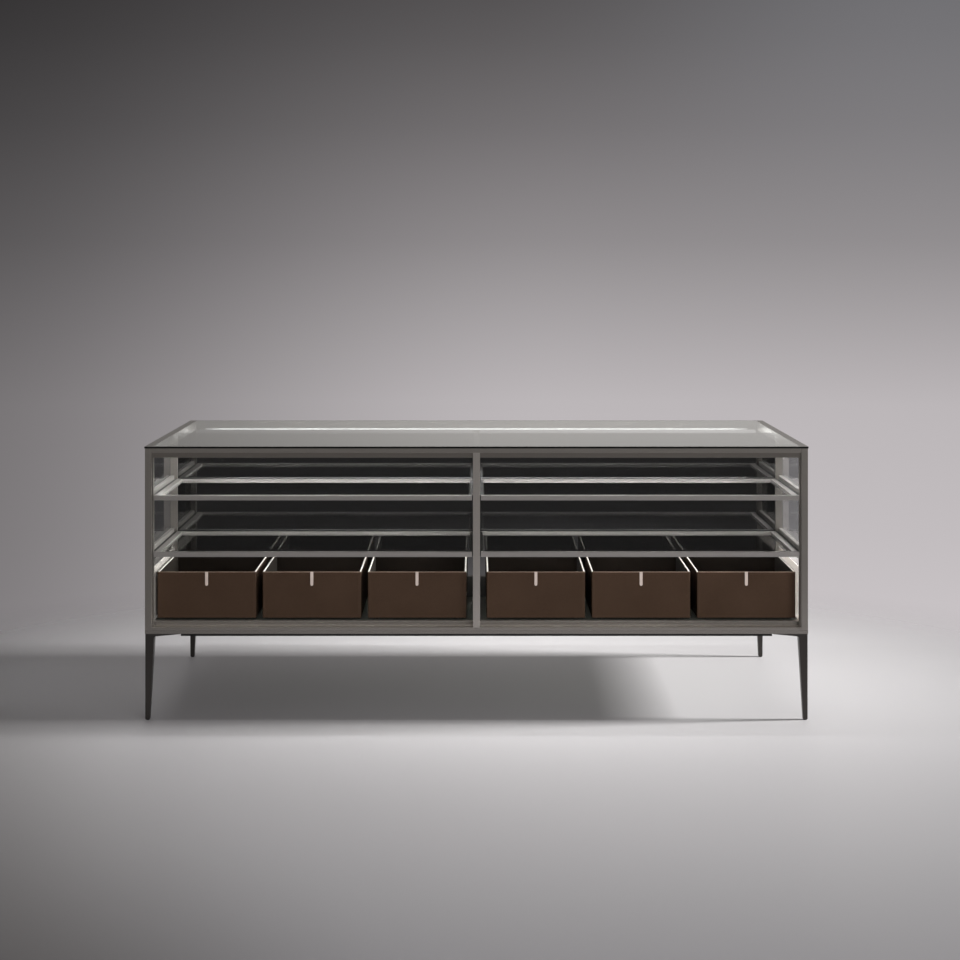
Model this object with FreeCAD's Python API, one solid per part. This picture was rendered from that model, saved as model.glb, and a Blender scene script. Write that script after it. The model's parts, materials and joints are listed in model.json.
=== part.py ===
import FreeCAD, Part
import os

# Double-sided closet island: an aluminium frame on four tapered legs, a glass top, two panes in each
# side and a black partition along the centre line. Each side of the partition has two levels of display
# trays on runners, and a row of open leather boxes that pull out over the bottom panel.
# The origin is the centre of the footprint on the floor, +Z is up and the front faces -Y.

# Plan of the frame
WIDTH = 2000.0  # over the outer faces of the corner posts
DEPTH = 800.0
POST_WIDTH = 20.0  # flush face of a corner post, and the same along its side
LIP_REACH = 4.0  # of the set-back lip past the flush face
RECESS = 6.0  # set-back of the lips and of the rails' inner bands, which the side panes fill
SILL_DEPTH = 34.0  # of the sill along the front and the rear, in front of the bottom panel
TOP_OVERHANG = 1.5  # of the glass top past the posts, on each side

# Heights, from the floor up
LEG_HEIGHT = 260.0  # floor to the underside of the base frame
BASE_HEIGHT = 10.0
BOTTOM_BAND = 9.5  # flush band of the bottom rails, up to the sill
BOTTOM_INNER_BAND = 11.8  # set-back band above it, up to the bottom panel's top
BOTTOM_CLEAR = 200.7  # bottom panel to lower trays
TRAY_HEIGHT = 14.5
MIDDLE_CLEAR = 156.0  # lower trays to upper trays
TOP_CLEAR = 113.6  # upper trays to top rails
TOP_INNER_BAND = 15.4
TOP_BAND = 13.5
TOP_GLASS_THICKNESS = 5.5

# Mullions and side posts
MULLION_WIDTH = 21.4
MULLION_WEB_WIDTH = 16.0
SIDE_POST_DEPTH = 26.0
SIDE_POST_REACH = 27.7  # inwards from the outer face

# Partition and bottom panel
PARTITION_THICKNESS = 12.0
PARTITION_TOP_GAP = 0.5  # to the glass top
PANEL_THICKNESS = 16.0
PANEL_RAIL_WIDTH = 18.0  # set-back body of the front and rear bottom rails
PANEL_LEDGE = 8.0  # of the bottom rails under the panel's edge

# Low side panels
LOW_PANEL_HEIGHT = 162.7
LOW_PANEL_THICKNESS = 2.5
LOW_PANEL_GAP = 10.5  # to the side pane

# Light strips inside the front and rear top rails
STRIP_HEIGHT = 5.0
STRIP_THICKNESS = 2.0
STRIP_END_GAP = 32.0  # to the posts' lips

# Display trays
TRAY_SET_BACK = 1.0  # from the front of the frame
TRAY_POST_GAP = 2.0
TRAY_MULLION_GAP = 3.0
TRAY_REAR_GAP = 9.0  # to the partition
TRAY_RAIL_WIDTH = 16.0  # front and rear rails
TRAY_SIDE_WIDTH = 16.5
TRAY_INNER_SIDE_WIDTH = 6.0
TRAY_SIDE_GAP = 5.0  # outer side rail to the line of the posts' lips
TRAY_LEDGE_WIDTH = 4.0
TRAY_LEDGE_THICKNESS = 4.5
TRAY_GLASS_THICKNESS = 4.5
TRAY_GLASS_GAP = 0.5

# Runners: a carrier bar with a slide along it, beside and between the trays
RUNNER_GAP = 0.3  # slide to tray
RUNNER_WIDTH = 12.0  # carrier beside a side pane
RUNNER_HEIGHT = 25.0
RUNNER_RISE = 10.0  # carrier's top above the tray
CENTRE_RUNNER_WIDTH = 6.0
SLIDE_HEIGHT = 13.0
SLIDE_DROP = 2.0  # slide's top below the tray's top

# Leather boxes
BOXES_PER_BAY = 3
BOX_POST_GAP = 4.0
BOX_MULLION_GAP = 20.3
BOX_GAP = 20.5
BOX_SET_BACK = 50.0  # from the front of the frame
BOX_BACK_GAP = 14.0  # to the partition
BOX_HEIGHT = 140.0
BOX_WALL = 5.0
SKID_HEIGHT = 6.2  # under the box
SKID_WIDTH = 12.0
SKID_INSET = 18.0  # from the box's outer faces
TAB_WIDTH = 9.0
TAB_LENGTH = 42.0
TAB_THICKNESS = 1.5

# Legs, and the dark strip between them under the base frame
BASE_FRAME_WIDTH = 40.0
SHADOW_STRIP_HEIGHT = 8.0
SHADOW_STRIP_WIDTH = 22.0
SHADOW_STRIP_SET_BACK = 8.0
SHADOW_STRIP_END_GAP = 1.0  # to the legs' arms
LEG_INSET = 1.0
LEG_TOP_WIDTH = 26.5
LEG_FOOT_WIDTH = 13.5
ARM_LENGTH = 105.0  # from the leg's outer face
ARM_ROOT_HEIGHT = 8.0
ARM_TIP_HEIGHT = 1.0
ARM_FILLET = 7.0
PAD_HEIGHT = 3.0
PAD_RADIUS = 6.0

# Leg screws, one in each arm
SCREW_PLACE = 62.0  # along the arm, from the leg's outer face
SCREW_RADIUS = 2.0
SCREW_HEAD_RADIUS = 4.2
SCREW_HEAD_HEIGHT = 1.6
SCREW_SEAT = 2.2  # arm material left above the head
SCREW_REACH = 6.5  # into the base frame
SCREW_CLEARANCE = 0.2

# Planes that the pieces share
HALF_WIDTH = WIDTH / 2
HALF_DEPTH = DEPTH / 2
POST_X = HALF_WIDTH - POST_WIDTH
POST_Y = HALF_DEPTH - POST_WIDTH
RECESS_X = HALF_WIDTH - RECESS
RECESS_Y = HALF_DEPTH - RECESS
LIP_X = POST_X - LIP_REACH
LIP_Y = POST_Y - LIP_REACH
SIDE_POST_X = HALF_WIDTH - SIDE_POST_REACH
SIDE_POST_Y = SIDE_POST_DEPTH / 2
PARTITION_Y = PARTITION_THICKNESS / 2

BASE_TOP = LEG_HEIGHT + BASE_HEIGHT
BOTTOM_BAND_TOP = BASE_TOP + BOTTOM_BAND
PANEL_TOP = BOTTOM_BAND_TOP + BOTTOM_INNER_BAND
PANEL_BOTTOM = PANEL_TOP - PANEL_THICKNESS
SILL_Y = HALF_DEPTH - SILL_DEPTH
PANEL_Y = SILL_Y - PANEL_RAIL_WIDTH
BOX_BOTTOM = PANEL_TOP + SKID_HEIGHT
LOWER_TRAY = PANEL_TOP + BOTTOM_CLEAR
UPPER_TRAY = LOWER_TRAY + TRAY_HEIGHT + MIDDLE_CLEAR
TOP_RAIL_BOTTOM = UPPER_TRAY + TRAY_HEIGHT + TOP_CLEAR
TOP_BAND_BOTTOM = TOP_RAIL_BOTTOM + TOP_INNER_BAND
FRAME_TOP = TOP_BAND_BOTTOM + TOP_BAND

TRAY_OUTER_X = LIP_X - TRAY_SIDE_GAP
TRAY_INNER_X = MULLION_WIDTH / 2 + TRAY_MULLION_GAP
TRAY_FRONT_Y = HALF_DEPTH - TRAY_SET_BACK
TRAY_REAR_Y = PARTITION_Y + TRAY_REAR_GAP
TRAY_LEVELS = {"lower": LOWER_TRAY, "upper": UPPER_TRAY}

LEG_X = HALF_WIDTH - LEG_INSET
LEG_Y = HALF_DEPTH - LEG_INSET
ARM_BOTTOM = LEG_HEIGHT - ARM_ROOT_HEIGHT
SCREW_HEAD_TOP = LEG_HEIGHT - SCREW_SEAT

LEFT_RIGHT = {"left": False, "right": True}
FRONT_REAR = {"front": False, "rear": True}


def block(x0, x1, y0, y1, z0, z1):
    return Part.makeBox(x1 - x0, y1 - y0, z1 - z0, FreeCAD.Vector(x0, y0, z0))


def centred_block(half_x, y0, y1, z0, z1):
    return block(-half_x, half_x, y0, y1, z0, z1)


def mirrored(shape, to_right, to_rear):
    """Each repeated piece is modelled at the front left and mirrored to its other places."""
    origin = FreeCAD.Vector(0, 0, 0)
    if to_right:
        shape = shape.mirror(origin, FreeCAD.Vector(1, 0, 0))
    if to_rear:
        shape = shape.mirror(origin, FreeCAD.Vector(0, 1, 0))
    return shape


def at_all_corners(shapes):
    copies = []
    for to_rear in FRONT_REAR.values():
        for to_right in LEFT_RIGHT.values():
            copies += [mirrored(shape, to_right, to_rear) for shape in shapes]
    return copies


def save(name, shape):
    shape.exportStep("parts/" + name + ".step")


def save_front_and_rear(name, shape):
    for place, to_rear in FRONT_REAR.items():
        save(name + "_" + place, mirrored(shape, False, to_rear))


def save_left_and_right(name, shape):
    for side, to_right in LEFT_RIGHT.items():
        save(name + "_" + side, mirrored(shape, to_right, False))


def save_at_corners(name, shape):
    for place, to_rear in FRONT_REAR.items():
        for side, to_right in LEFT_RIGHT.items():
            save(name + "_" + place + "_" + side, mirrored(shape, to_right, to_rear))


# Frame

def corner_post():
    flush = block(-HALF_WIDTH, -POST_X, -HALF_DEPTH, -POST_Y, BASE_TOP, FRAME_TOP)
    lip = block(-RECESS_X, -LIP_X, -RECESS_Y, -LIP_Y, BASE_TOP, FRAME_TOP)
    return flush.fuse(lip).removeSplitter()


def long_top_rail():
    """A flush band between the posts' faces, on a set-back body between their lips."""
    body = centred_block(LIP_X, -RECESS_Y, -LIP_Y, TOP_RAIL_BOTTOM, FRAME_TOP)
    band = centred_block(POST_X, -HALF_DEPTH, -RECESS_Y, TOP_BAND_BOTTOM, FRAME_TOP)
    return body.fuse(band).removeSplitter()


def side_rail(bottom, top, band_bottom, band_top):
    body = block(-RECESS_X, -LIP_X, -LIP_Y, LIP_Y, bottom, top)
    band = block(-HALF_WIDTH, -RECESS_X, -POST_Y, POST_Y, band_bottom, band_top)
    return body.fuse(band).removeSplitter()


def long_bottom_rail():
    """A flush band, a sill behind it, and a body with a ledge that the bottom panel's edge lies on."""
    band = centred_block(POST_X, -HALF_DEPTH, -RECESS_Y, BASE_TOP, BOTTOM_BAND_TOP)
    sill = centred_block(LIP_X, -RECESS_Y, -SILL_Y, BASE_TOP, BOTTOM_BAND_TOP)
    body = centred_block(LIP_X, -SILL_Y, -PANEL_Y, BASE_TOP, PANEL_TOP)
    ledge = centred_block(LIP_X - PANEL_LEDGE, -PANEL_Y, -PANEL_Y + PANEL_LEDGE, BASE_TOP, PANEL_BOTTOM)
    return band.fuse([sill, body, ledge]).removeSplitter()


def side_bottom_rail():
    rail = side_rail(BASE_TOP, PANEL_TOP, BASE_TOP, BOTTOM_BAND_TOP)
    ledge = block(-LIP_X, -LIP_X + PANEL_LEDGE, -PANEL_Y, PANEL_Y, BASE_TOP, PANEL_BOTTOM)
    return rail.fuse(ledge).removeSplitter()


def mullion():
    plate = centred_block(MULLION_WIDTH / 2, -HALF_DEPTH, -RECESS_Y, BOTTOM_BAND_TOP, TOP_BAND_BOTTOM)
    web = centred_block(MULLION_WEB_WIDTH / 2, -RECESS_Y, -LIP_Y, BOTTOM_BAND_TOP, TOP_RAIL_BOTTOM)
    return plate.fuse(web).removeSplitter()


def side_post():
    """Flush with the side between the panes, and between the rails behind them."""
    face = block(-HALF_WIDTH, -RECESS_X, -SIDE_POST_Y, SIDE_POST_Y, BOTTOM_BAND_TOP, TOP_BAND_BOTTOM)
    body = block(-RECESS_X, -SIDE_POST_X, -SIDE_POST_Y, SIDE_POST_Y, PANEL_TOP, TOP_RAIL_BOTTOM)
    return face.fuse(body).removeSplitter()


def side_glass():
    """One pane each side of the side post."""
    pane = block(-HALF_WIDTH, -RECESS_X, -POST_Y, -SIDE_POST_Y, BOTTOM_BAND_TOP, TOP_BAND_BOTTOM)
    return Part.makeCompound([pane, mirrored(pane, False, True)])


def top_glass():
    half_width = HALF_WIDTH + TOP_OVERHANG
    half_depth = HALF_DEPTH + TOP_OVERHANG
    return centred_block(half_width, -half_depth, half_depth, FRAME_TOP, FRAME_TOP + TOP_GLASS_THICKNESS)


def build_frame():
    save("top_glass", top_glass())
    save_at_corners("post", corner_post())
    save_front_and_rear("top_rail", long_top_rail())
    save_left_and_right("top_rail", side_rail(TOP_RAIL_BOTTOM, FRAME_TOP, TOP_BAND_BOTTOM, FRAME_TOP))
    save_front_and_rear("bottom_rail", long_bottom_rail())
    save_left_and_right("bottom_rail", side_bottom_rail())
    save_front_and_rear("mullion", mullion())
    save_left_and_right("side_post", side_post())
    save_left_and_right("side_glass", side_glass())


# Panels and lights

def bottom_panel():
    return centred_block(LIP_X, -PANEL_Y, PANEL_Y, PANEL_BOTTOM, PANEL_TOP)


def partition():
    return centred_block(SIDE_POST_X, -PARTITION_Y, PARTITION_Y, PANEL_TOP, FRAME_TOP - PARTITION_TOP_GAP)


def low_side_panel():
    """One sheet each side of the side post, both on the bottom rail."""
    outer = RECESS_X - LOW_PANEL_GAP
    inner = outer - LOW_PANEL_THICKNESS
    sheet = block(-outer, -inner, -LIP_Y, -SIDE_POST_Y, PANEL_TOP, PANEL_TOP + LOW_PANEL_HEIGHT)
    return Part.makeCompound([sheet, mirrored(sheet, False, True)])


def light_strips():
    inner = -LIP_Y + STRIP_THICKNESS
    top = TOP_RAIL_BOTTOM + STRIP_HEIGHT
    strip = centred_block(LIP_X - STRIP_END_GAP, -LIP_Y, inner, TOP_RAIL_BOTTOM, top)
    return Part.makeCompound([strip, mirrored(strip, False, True)])


def build_panels_and_lights():
    save("bottom_panel", bottom_panel())
    save("partition", partition())
    save_left_and_right("low_side_panel", low_side_panel())
    save("light_strips", light_strips())


# Display trays and their runners

def tray_inside(margin, z0, z1):
    """The space between a tray's rails, less a margin all round."""
    outer = -TRAY_OUTER_X + TRAY_SIDE_WIDTH + margin
    inner = -TRAY_INNER_X - TRAY_INNER_SIDE_WIDTH - margin
    front = -TRAY_FRONT_Y + TRAY_RAIL_WIDTH + margin
    rear = -TRAY_REAR_Y - TRAY_RAIL_WIDTH - margin
    return block(outer, inner, front, rear, z0, z1)


def tray_frame(z):
    top = z + TRAY_HEIGHT
    ledge_top = z + TRAY_LEDGE_THICKNESS
    front_rail_end = -LIP_X + TRAY_POST_GAP
    front_rail_rear = -TRAY_FRONT_Y + TRAY_RAIL_WIDTH
    front_rail = block(front_rail_end, -TRAY_INNER_X, -TRAY_FRONT_Y, front_rail_rear, z, top)
    body = block(-TRAY_OUTER_X, -TRAY_INNER_X, -TRAY_FRONT_Y, -TRAY_REAR_Y, z, top)
    frame = body.fuse(front_rail).removeSplitter()
    return frame.cut([tray_inside(0.0, ledge_top, top), tray_inside(TRAY_LEDGE_WIDTH, z, ledge_top)])


def tray_glass(z):
    glass_bottom = z + TRAY_LEDGE_THICKNESS
    return tray_inside(TRAY_GLASS_GAP, glass_bottom, glass_bottom + TRAY_GLASS_THICKNESS)


def outer_runner(z):
    tray_top = z + TRAY_HEIGHT
    carrier_top = tray_top + RUNNER_RISE
    carrier_x = -RECESS_X + RUNNER_WIDTH
    slide_x = -TRAY_OUTER_X - RUNNER_GAP
    slide_top = tray_top - SLIDE_DROP
    carrier = block(-RECESS_X, carrier_x, -LIP_Y, -SIDE_POST_Y, carrier_top - RUNNER_HEIGHT, carrier_top)
    slide = block(carrier_x, slide_x, -LIP_Y, -SIDE_POST_Y, slide_top - SLIDE_HEIGHT, slide_top)
    return carrier.fuse(slide).removeSplitter()


def centre_runner(z):
    """It carries the left and the right tray of its level, from the mullion back to the partition."""
    tray_top = z + TRAY_HEIGHT
    carrier_top = tray_top + RUNNER_RISE
    slide_x = TRAY_INNER_X - RUNNER_GAP
    slide_top = tray_top - SLIDE_DROP
    half_carrier = CENTRE_RUNNER_WIDTH / 2
    carrier = centred_block(half_carrier, -LIP_Y, -PARTITION_Y, carrier_top - RUNNER_HEIGHT, carrier_top)
    slides = centred_block(slide_x, -LIP_Y, -PARTITION_Y, slide_top - SLIDE_HEIGHT, slide_top)
    return carrier.fuse(slides).removeSplitter()


def build_trays():
    runners = []
    for level, z in TRAY_LEVELS.items():
        save_at_corners("tray_frame_" + level, tray_frame(z))
        save_at_corners("tray_glass_" + level, tray_glass(z))
        runners += at_all_corners([outer_runner(z)])
        runners += [centre_runner(z), mirrored(centre_runner(z), False, True)]
    save("tray_runners", Part.makeCompound(runners))


# Boxes: an open leather shell with a pull tab, on two skids, numbered from the left

def box_width():
    bay = LIP_X - BOX_POST_GAP - MULLION_WIDTH / 2 - BOX_MULLION_GAP
    return (bay - (BOXES_PER_BAY - 1) * BOX_GAP) / BOXES_PER_BAY


def box_left_edges():
    pitch = box_width() + BOX_GAP
    left_bay = [-LIP_X + BOX_POST_GAP + number * pitch for number in range(BOXES_PER_BAY)]
    right_bay = [-left - box_width() for left in reversed(left_bay)]
    return left_bay + right_bay


def tab(centre, front, top):
    radius = TAB_WIDTH / 2
    face = front - TAB_THICKNESS
    end_height = top - TAB_LENGTH + radius
    strap = block(centre - radius, centre + radius, face, front, end_height, top)
    end_centre = FreeCAD.Vector(centre, face, end_height)
    end = Part.makeCylinder(radius, TAB_THICKNESS, end_centre, FreeCAD.Vector(0, 1, 0))
    return strap.fuse(end).removeSplitter()


def skid(left, front, rear):
    return block(left, left + SKID_WIDTH, front + SKID_INSET, rear - SKID_INSET, PANEL_TOP, BOX_BOTTOM)


def box(left):
    front = -HALF_DEPTH + BOX_SET_BACK
    rear = -PARTITION_Y - BOX_BACK_GAP
    right = left + box_width()
    top = BOX_BOTTOM + BOX_HEIGHT
    shell = block(left, right, front, rear, BOX_BOTTOM, top)
    inside_left, inside_right = left + BOX_WALL, right - BOX_WALL
    inside_front, inside_rear = front + BOX_WALL, rear - BOX_WALL
    inside = block(inside_left, inside_right, inside_front, inside_rear, BOX_BOTTOM + BOX_WALL, top)
    skids = [skid(edge, front, rear) for edge in (left + SKID_INSET, right - SKID_INSET - SKID_WIDTH)]
    return Part.makeCompound([shell.cut(inside), tab((left + right) / 2, front, top)] + skids)


def build_boxes():
    for number, left in enumerate(box_left_edges(), start=1):
        save_front_and_rear("box_" + str(number), box(left))


# Base frame, legs, pads and screws

def upright_cylinder(x, y, radius, z0, z1):
    return Part.makeCylinder(radius, z1 - z0, FreeCAD.Vector(x, y, z0))


def screw_places():
    """The two screws of the front left leg, one in each arm."""
    middle = LEG_TOP_WIDTH / 2
    return [(-LEG_X + SCREW_PLACE, -LEG_Y + middle), (-LEG_X + middle, -LEG_Y + SCREW_PLACE)]


def in_leg_diagonal(shape):
    """The arm along Y is the one along X mirrored in the leg's diagonal."""
    return shape.mirror(FreeCAD.Vector(-LEG_X, -LEG_Y, 0), FreeCAD.Vector(1, -1, 0))


def is_under_arm(edge):
    """True for the edge where the leg's inner face meets the underside of its arm."""
    middle = edge.CenterOfMass
    return abs(middle.x + LEG_X - LEG_TOP_WIDTH) < 0.01 and abs(middle.z - ARM_BOTTOM) < 0.01


def leg_profile():
    """The leg with its arm along X, as seen from the front, in a slab as thick as the leg's top."""
    inner_foot = -LEG_X + LEG_FOOT_WIDTH
    root = -LEG_X + LEG_TOP_WIDTH
    tip = -LEG_X + ARM_LENGTH
    inner_side = [(-LEG_X, PAD_HEIGHT), (inner_foot, PAD_HEIGHT), (root, ARM_BOTTOM)]
    arm = [(tip, LEG_HEIGHT - ARM_TIP_HEIGHT), (tip, LEG_HEIGHT), (-LEG_X, LEG_HEIGHT)]
    outline = inner_side + arm + inner_side[:1]
    wire = Part.makePolygon([FreeCAD.Vector(x, -LEG_Y, z) for x, z in outline])
    slab = Part.Face(wire).extrude(FreeCAD.Vector(0, LEG_TOP_WIDTH, 0))
    return slab.makeFillet(ARM_FILLET, [edge for edge in slab.Edges if is_under_arm(edge)])


def leg():
    profile = leg_profile()
    column = profile.common(in_leg_diagonal(profile))
    root = -LEG_X + LEG_TOP_WIDTH
    arm_space = block(root, -LEG_X + ARM_LENGTH, -LEG_Y, -LEG_Y + LEG_TOP_WIDTH, PAD_HEIGHT, LEG_HEIGHT)
    arm = profile.common(arm_space)
    shape = column.fuse([arm, in_leg_diagonal(arm)]).removeSplitter()
    for x, y in screw_places():
        shank = upright_cylinder(x, y, SCREW_RADIUS + SCREW_CLEARANCE, SCREW_HEAD_TOP, LEG_HEIGHT)
        head = upright_cylinder(x, y, SCREW_HEAD_RADIUS + SCREW_CLEARANCE, ARM_BOTTOM, SCREW_HEAD_TOP)
        shape = shape.cut([shank, head])
    return shape


def leg_screw(x, y):
    head = upright_cylinder(x, y, SCREW_HEAD_RADIUS, SCREW_HEAD_TOP - SCREW_HEAD_HEIGHT, SCREW_HEAD_TOP)
    shank = upright_cylinder(x, y, SCREW_RADIUS, SCREW_HEAD_TOP, LEG_HEIGHT + SCREW_REACH)
    return head.fuse(shank).removeSplitter()


def foot_pad():
    middle = LEG_FOOT_WIDTH / 2
    return upright_cylinder(-LEG_X + middle, -LEG_Y + middle, PAD_RADIUS, 0.0, PAD_HEIGHT)


def shadow_strips():
    """Set-back bars under the base frame, from leg to leg."""
    end = LEG_INSET + ARM_LENGTH + SHADOW_STRIP_END_GAP
    bottom = LEG_HEIGHT - SHADOW_STRIP_HEIGHT
    outer_x, outer_y = HALF_WIDTH - SHADOW_STRIP_SET_BACK, HALF_DEPTH - SHADOW_STRIP_SET_BACK
    inner_x, inner_y = outer_x - SHADOW_STRIP_WIDTH, outer_y - SHADOW_STRIP_WIDTH
    end_x, end_y = HALF_WIDTH - end, HALF_DEPTH - end
    front = centred_block(end_x, -outer_y, -inner_y, bottom, LEG_HEIGHT)
    left = block(-outer_x, -inner_x, -end_y, end_y, bottom, LEG_HEIGHT)
    return [front, mirrored(front, False, True), left, mirrored(left, True, False)]


def base_frame():
    outer = centred_block(HALF_WIDTH, -HALF_DEPTH, HALF_DEPTH, LEG_HEIGHT, BASE_TOP)
    inner_y = HALF_DEPTH - BASE_FRAME_WIDTH
    inner = centred_block(HALF_WIDTH - BASE_FRAME_WIDTH, -inner_y, inner_y, LEG_HEIGHT, BASE_TOP)
    hole_radius = SCREW_RADIUS + SCREW_CLEARANCE
    hole_top = LEG_HEIGHT + SCREW_REACH + SCREW_CLEARANCE
    holes = [upright_cylinder(x, y, hole_radius, LEG_HEIGHT, hole_top) for x, y in screw_places()]
    ring = outer.cut([inner] + at_all_corners(holes))
    return ring.fuse(shadow_strips()).removeSplitter()


def build_base():
    save("base_frame", base_frame())
    save_at_corners("leg", leg())
    save("foot_pads", Part.makeCompound(at_all_corners([foot_pad()])))
    screws = [leg_screw(x, y) for x, y in screw_places()]
    save("leg_screws", Part.makeCompound(at_all_corners(screws)))


os.makedirs("parts", exist_ok=True)
build_frame()
build_panels_and_lights()
build_trays()
build_boxes()
build_base()
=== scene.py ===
import bmesh
import bpy
import json
import math
from mathutils import Matrix, Vector

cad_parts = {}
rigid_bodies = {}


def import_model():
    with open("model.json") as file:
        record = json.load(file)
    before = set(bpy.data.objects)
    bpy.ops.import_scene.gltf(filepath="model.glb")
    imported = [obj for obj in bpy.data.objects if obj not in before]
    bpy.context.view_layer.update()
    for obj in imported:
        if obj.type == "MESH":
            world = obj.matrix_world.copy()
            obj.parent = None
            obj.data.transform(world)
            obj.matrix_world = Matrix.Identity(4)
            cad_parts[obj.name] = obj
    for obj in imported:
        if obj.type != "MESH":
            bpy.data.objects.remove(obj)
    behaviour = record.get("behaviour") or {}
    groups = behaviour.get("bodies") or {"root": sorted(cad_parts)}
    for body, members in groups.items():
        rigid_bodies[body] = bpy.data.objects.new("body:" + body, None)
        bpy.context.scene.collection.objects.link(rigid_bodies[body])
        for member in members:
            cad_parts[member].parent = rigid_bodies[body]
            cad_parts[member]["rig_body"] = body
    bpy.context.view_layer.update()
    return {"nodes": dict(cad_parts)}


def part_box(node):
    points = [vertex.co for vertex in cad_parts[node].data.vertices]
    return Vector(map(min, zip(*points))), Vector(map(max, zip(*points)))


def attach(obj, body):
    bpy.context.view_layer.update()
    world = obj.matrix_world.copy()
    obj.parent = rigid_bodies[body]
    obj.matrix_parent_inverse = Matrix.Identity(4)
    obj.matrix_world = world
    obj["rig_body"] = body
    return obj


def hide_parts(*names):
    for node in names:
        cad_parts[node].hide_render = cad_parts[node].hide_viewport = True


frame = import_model()

ENDS = ("front", "rear")
SIDES = ("left", "right")
CORNERS = [end + "_" + side for end in ENDS for side in SIDES]
LEVELS = ("lower", "upper")
BOXES_IN_ROW = 6

# How near a face or an edge has to be, in metres, to count as in its place, and how far a face's normal
# has to go along an axis to count as facing that way
FACE_SLACK = 0.0005
EDGE_SLACK = 0.0001
FACING = 0.9

# Sizes that the joiner works to, in metres
RECESS = 0.006
BAR_ARRIS = 0.0007
TRAY_ARRIS = 0.0009
TRAY_INNER_RAIL = 0.0065
TRAY_RAIL = 0.016
CARRIER_WIDTH = 0.012
LEG_ARRIS = 0.0008
GLASS_ARRIS = 0.0006
SHEET_ARRIS = 0.0004
PARTITION_ARRIS = 0.0008
PANEL_ARRIS = 0.001
SKID_ARRIS = 0.0008
SCREW_ARRIS = 0.0003
TOP_BORDER = (0.0235, 0.005)
BOX_WALL = 0.005
BOX_FLOOR = 0.005
BOX_CORNER = 0.003
BOX_RIM = 0.0012
BOX_BORDER = 0.006
BOX_GROOVE = 0.0006
BOX_WALL_AREA = 0.01
STITCH_INSET = 0.0065
STITCH_PITCH = 0.0042
STITCH_THREAD = 0.00045
STITCH_GAP = 0.13
SKID_HEIGHT = 0.0062
SKID_WIDTH = 0.012
SKID_INSET = 0.018
TAB_SIZE = Vector((0.009, 0.0015, 0.042))
TAB_SOFTNESS = 0.0005
SCREW_HEAD_RADIUS = 0.0042
SCREW_HEAD_HEIGHT = 0.0016
SCREW_SHANK_RADIUS = 0.002
SCREW_SOCKET_RADIUS = 0.0022
SCREW_SOCKET_DEPTH = 0.001
SCREW_PLACE = 0.062
LEG_FACES = (0.999, 0.399)
PAD_RADIUS = 0.006
PAD_CHAMFER = 0.0006
BASE_CORNER = 0.04


def linear(red, green, blue):
    """A colour given on the 0 to 255 scale of a screen, as linear light."""
    steps = [value / 255 for value in (red, green, blue)]
    return tuple(s / 12.92 if s <= 0.04045 else ((s + 0.055) / 1.055) ** 2.4 for s in steps) + (1.0,)


def grey(level):
    """The backdrop's grey, faintly towards violet."""
    return (level, level * 0.94, level * 0.965, 1.0)


def warm_grey(level):
    """The grey of the light that the metals mirror."""
    return (level, level * 0.965, level * 0.925, 1.0)


def scaled(colour, by):
    """A colour made darker or lighter, up to white."""
    return tuple(min(c * by, 1.0) for c in colour[:3]) + (1.0,)


# Finishes

class Reading:
    """An output of a finish's nodes. Sums and products of readings add the nodes that work them out."""

    def __init__(self, finish, socket):
        self.finish = finish
        self.socket = socket

    def math(self, operation, *terms):
        return self.finish.node("Math", {"operation": operation}, terms)

    def __add__(self, other):
        return self.math("ADD", self, other)

    def __radd__(self, other):
        return self.math("ADD", other, self)

    def __sub__(self, other):
        return self.math("SUBTRACT", self, other)

    def __rsub__(self, other):
        return self.math("SUBTRACT", other, self)

    def __mul__(self, other):
        return self.math("MULTIPLY", self, other)

    def __rmul__(self, other):
        return self.math("MULTIPLY", other, self)

    def __truediv__(self, other):
        return self.math("DIVIDE", self, other)

    def __rtruediv__(self, other):
        return self.math("DIVIDE", other, self)

    def __gt__(self, other):
        return self.math("GREATER_THAN", self, other)

    def __lt__(self, other):
        return self.math("LESS_THAN", self, other)

    def __abs__(self):
        return self.math("ABSOLUTE", self)


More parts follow.
